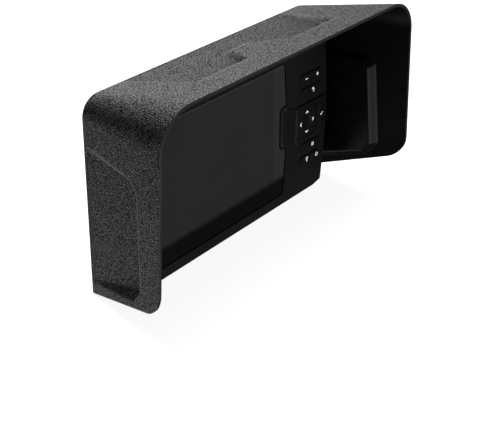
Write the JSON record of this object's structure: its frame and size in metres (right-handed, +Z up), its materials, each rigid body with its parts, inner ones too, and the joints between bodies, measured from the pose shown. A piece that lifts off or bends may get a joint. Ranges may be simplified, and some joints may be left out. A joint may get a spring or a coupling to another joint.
{
  "type": "marine chartplotter with glare visor",
  "caption": "Keyed marine chartplotter display in a clip-over glare visor, with press keys, a zoom rocker and a direction pad.",
  "frame": {"origin": "middle of the flat bottom that the case stands on, under the middle of its full-width front part", "axes": "+X to the right seen from the front, +Y from the face to the back, +Z up"},
  "size_m": [0.313, 0.1205, 0.182],
  "materials": {
    "visor_sheet": "leather-grain charcoal outside, smooth inside",
    "bezel_plastic": "fine satin black",
    "case_plastic": "fine spark-eroded black",
    "key_plastic": "satin black with white printed symbols",
    "cover_glass": "anti-glare, optically bonded",
    "black_foam": "closed-cell adhesive foam",
    "lcd_cell": "dark, unlit",
    "clear_acrylic": "polished",
    "sheet_steel": "bright",
    "sheet_aluminium": "satin",
    "screw_steel": "bright",
    "insert_brass": "turned",
    "contact_gold": "bright plated",
    "circuit_board": "solder-resist green",
    "chip_plastic": "moulded black",
    "silicone_pad": "soft",
    "key_silicone": "soft matte",
    "seal_rubber": "soft matte",
    "ceramic_patch": "fired",
    "flex_film": "amber film",
    "socket_plastic": "glass-filled black"
  },
  "bodies": {
    "case": {"front_bezel": "bezel_plastic", "cover_glass": "cover_glass", "glass_gasket": "black_foam", "lcd_panel": "lcd_cell", "light_guide": "clear_acrylic", "backlight_tray": "sheet_steel", "lcd_frame": "sheet_steel", "lcd_screws": "screw_steel", "heat_spreader": "sheet_aluminium", "thermal_pad": "silicone_pad", "main_board": "circuit_board", "board_components": "chip_plastic", "board_shield": "sheet_steel", "board_screws": "screw_steel", "gnss_antenna": "ceramic_patch", "buzzer": "chip_plastic", "display_flex": "flex_film", "keypad_flex": "flex_film", "keypad_board": "circuit_board", "dome_switches": "screw_steel", "key_mat": "key_silicone", "rear_case": "case_plastic", "case_seal": "seal_rubber", "case_screws": "screw_steel", "rear_inserts": "insert_brass", "knob_inserts": "insert_brass", "power_socket": "socket_plastic", "transducer_socket": "socket_plastic", "power_pins": "contact_gold", "transducer_pins": "contact_gold", "socket_nuts": "socket_plastic", "vent_plug": "seal_rubber"},
    "visor": {"visor_shell": "visor_sheet"},
    "zoom_rocker": {"zoom_rocker": "key_plastic"},
    "pad_pivot": {"pad_pivot": "key_silicone"},
    "direction_pad": {"direction_pad": "key_plastic"},
    "back_key": {"back_key": "key_plastic"},
    "select_key": {"select_key": "key_plastic"},
    "menu_key": {"menu_key": "key_plastic"},
    "mark_key": {"mark_key": "key_plastic"},
    "power_key": {"power_key": "key_plastic"}
  },
  "joints": [
    {"name": "visor_lift", "type": "slide", "parent": "case", "child": "visor", "axis": [0, 0, 1], "range_m": [0, 0.145]},
    {"name": "zoom_rock", "type": "hinge", "parent": "case", "child": "zoom_rocker", "pos_m": [0.0987, -0.00975, 0.1111], "axis": [0, 0, 1], "range_deg": [-2, 2], "stiffness_Nm_per_rad": 0.3},
    {"name": "pad_rock_up_down", "type": "hinge", "parent": "case", "child": "pad_pivot", "pos_m": [0.093, -0.00975, 0.0712], "axis": [1, 0, 0], "range_deg": [-2, 2], "stiffness_Nm_per_rad": 0.3},
    {"name": "pad_rock_left_right", "type": "hinge", "parent": "pad_pivot", "child": "direction_pad", "pos_m": [0.093, -0.00975, 0.0712], "axis": [0, 0, 1], "range_deg": [-2, 2], "stiffness_Nm_per_rad": 0.3},
    {"name": "back_press", "type": "slide", "parent": "case", "child": "back_key", "axis": [0, 1, 0], "range_m": [0, 0.0008], "stiffness_N_per_m": 900, "springref_m": -0.0006},
    {"name": "select_press", "type": "slide", "parent": "case", "child": "select_key", "axis": [0, 1, 0], "range_m": [0, 0.0008], "stiffness_N_per_m": 900, "springref_m": -0.0006},
    {"name": "menu_press", "type": "slide", "parent": "case", "child": "menu_key", "axis": [0, 1, 0], "range_m": [0, 0.0008], "stiffness_N_per_m": 900, "springref_m": -0.0006},
    {"name": "mark_press", "type": "slide", "parent": "case", "child": "mark_key", "axis": [0, 1, 0], "range_m": [0, 0.0008], "stiffness_N_per_m": 900, "springref_m": -0.0006},
    {"name": "power_press", "type": "slide", "parent": "case", "child": "power_key", "axis": [0, 1, 0], "range_m": [0, 0.0008], "stiffness_N_per_m": 900, "springref_m": -0.0006}
  ]
}
